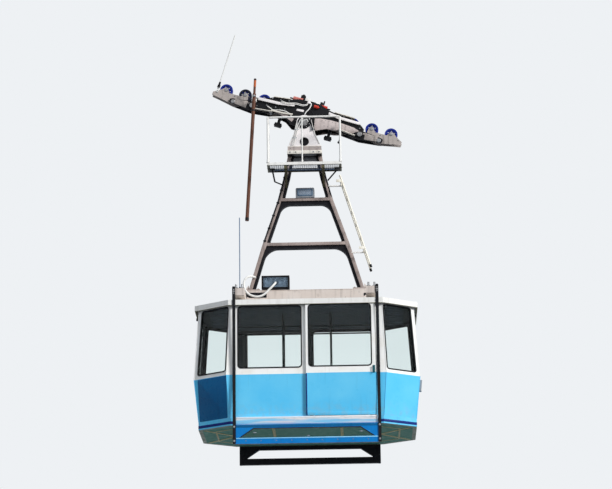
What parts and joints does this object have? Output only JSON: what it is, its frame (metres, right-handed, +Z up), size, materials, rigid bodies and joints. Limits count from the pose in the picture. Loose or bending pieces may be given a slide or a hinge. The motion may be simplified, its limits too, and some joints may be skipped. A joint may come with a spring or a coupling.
{
  "type": "aerial tramway cabin",
  "caption": "Octagonal cable car cabin on an A-frame hanger under a grooved-wheel carriage, with sliding doors, work platform, ladder and guide frames.",
  "frame": {"origin": "on the axis of the track rope, straight above the main pin that the hanger swings on", "axes": "+X along the line, downhill; +Y across the cabin, away from the work platform; +Z up"},
  "size_m": [4.7132, 2.72, 9.2651],
  "materials": {
    "aluminium": "brushed",
    "belly_paint": "matte",
    "blue_paint": "gloss",
    "brown_coat": "satin",
    "cream_paint": "satin",
    "dark_steel": "satin",
    "deep_blue_paint": "gloss",
    "floor_grey": "matte",
    "glass": "clear",
    "grating": "galvanised",
    "grey_paint": "satin",
    "hanger_paint": "satin",
    "lamp_lens": "gloss",
    "red_paint": "satin",
    "steel": "brushed",
    "wheel_blue": "satin",
    "white_paint": "satin"
  },
  "bodies": {
    "carriage": {"main_beam": "cream_paint", "beam_ties": "dark_steel", "beam_flanges": "cream_paint", "balance_beams": "grey_paint", "bogies": "grey_paint", "bogie_spacers": "dark_steel", "axles": "steel", "track_brake": "dark_steel", "brake_cylinders": "red_paint", "haul_clamps": "dark_steel", "carriage_aerial": "steel", "rod_bracket": "grey_paint"},
    "cabin": {"beam_bolts": "steel", "belly_panel": "belly_paint", "ceiling": "white_paint", "conduit": "white_paint", "corner_walls": "blue_paint", "door_rails": "aluminium", "door_sills": "aluminium", "end_walls": "blue_paint", "floor_frame": "deep_blue_paint", "floor_plate": "floor_grey", "grab_rails": "steel", "guide_frames": "deep_blue_paint", "hanger_feet": "hanger_paint", "hanger_frame": "hanger_paint", "head_cheeks": "cream_paint", "head_flange": "cream_paint", "ladder": "white_paint", "ladder_clamps": "dark_steel", "main_pin": "steel", "marker_lamps": "lamp_lens", "mesh_box": "dark_steel", "platform_deck": "grating", "platform_frame": "white_paint", "platform_rail": "white_paint", "roof_aerial": "steel", "roof_beams": "cream_paint", "roof_shell": "white_paint", "side_wall_far": "blue_paint", "side_wall_near": "blue_paint", "tie_straps": "dark_steel", "window_panes": "glass", "work_lamp": "grey_paint"},
    "door_near": {"door_handle_near": "aluminium", "door_leaf_near": "blue_paint", "door_pane_near": "glass"},
    "door_far": {"door_handle_far": "aluminium", "door_leaf_far": "blue_paint", "door_pane_far": "glass"},
    "draw_rod": {"draw_rod": "brown_coat"},
    "wheel_1": {"wheel_1": "wheel_blue"},
    "wheel_2": {"wheel_2": "wheel_blue"},
    "wheel_3": {"wheel_3": "wheel_blue"},
    "wheel_4": {"wheel_4": "wheel_blue"},
    "wheel_5": {"wheel_5": "wheel_blue"},
    "wheel_6": {"wheel_6": "wheel_blue"},
    "wheel_7": {"wheel_7": "wheel_blue"},
    "wheel_8": {"wheel_8": "wheel_blue"}
  },
  "joints": [
    {"name": "cabin_swing", "type": "hinge", "parent": "carriage", "child": "cabin", "pos_m": [0, 0, -0.17], "axis": [0, 1, 0], "range_deg": [-15, 49]},
    {"name": "draw_rod_swing", "type": "hinge", "parent": "carriage", "child": "draw_rod", "pos_m": [-1.06854, -0.36, 0.40511], "axis": [0, 1, 0], "range_deg": [-15, 49]},
    {"name": "door_near_slide", "type": "slide", "parent": "cabin", "child": "door_near", "axis": [1, 0, 0], "range_m": [-1.38, 0]},
    {"name": "door_far_slide", "type": "slide", "parent": "cabin", "child": "door_far", "axis": [1, 0, 0], "range_m": [0, 1.38]},
    {"name": "wheel_1_spin", "type": "hinge", "parent": "carriage", "child": "wheel_1", "pos_m": [-1.68314, 0, 0.66935], "axis": [0, 1, 0], "continuous": true},
    {"name": "wheel_2_spin", "type": "hinge", "parent": "carriage", "child": "wheel_2", "pos_m": [-1.27193, 0, 0.54363], "axis": [0, 1, 0], "continuous": true},
    {"name": "wheel_3_spin", "type": "hinge", "parent": "carriage", "child": "wheel_3", "pos_m": [-0.86072, 0, 0.41791], "axis": [0, 1, 0], "continuous": true},
    {"name": "wheel_4_spin", "type": "hinge", "parent": "carriage", "child": "wheel_4", "pos_m": [-0.44951, 0, 0.29219], "axis": [0, 1, 0], "continuous": true},
    {"name": "wheel_5_spin", "type": "hinge", "parent": "carriage", "child": "wheel_5", "pos_m": [0.63111, 0, -0.03819], "axis": [0, 1, 0], "continuous": true},
    {"name": "wheel_6_spin", "type": "hinge", "parent": "carriage", "child": "wheel_6", "pos_m": [1.04233, 0, -0.16391], "axis": [0, 1, 0], "continuous": true},
    {"name": "wheel_7_spin", "type": "hinge", "parent": "carriage", "child": "wheel_7", "pos_m": [1.45354, 0, -0.28963], "axis": [0, 1, 0], "continuous": true},
    {"name": "wheel_8_spin", "type": "hinge", "parent": "carriage", "child": "wheel_8", "pos_m": [1.86475, 0, -0.41535], "axis": [0, 1, 0], "continuous": true}
  ],
  "couplings": [
    {"joint": "draw_rod_swing", "follows": "cabin_swing", "ratio": 1}
  ]
}
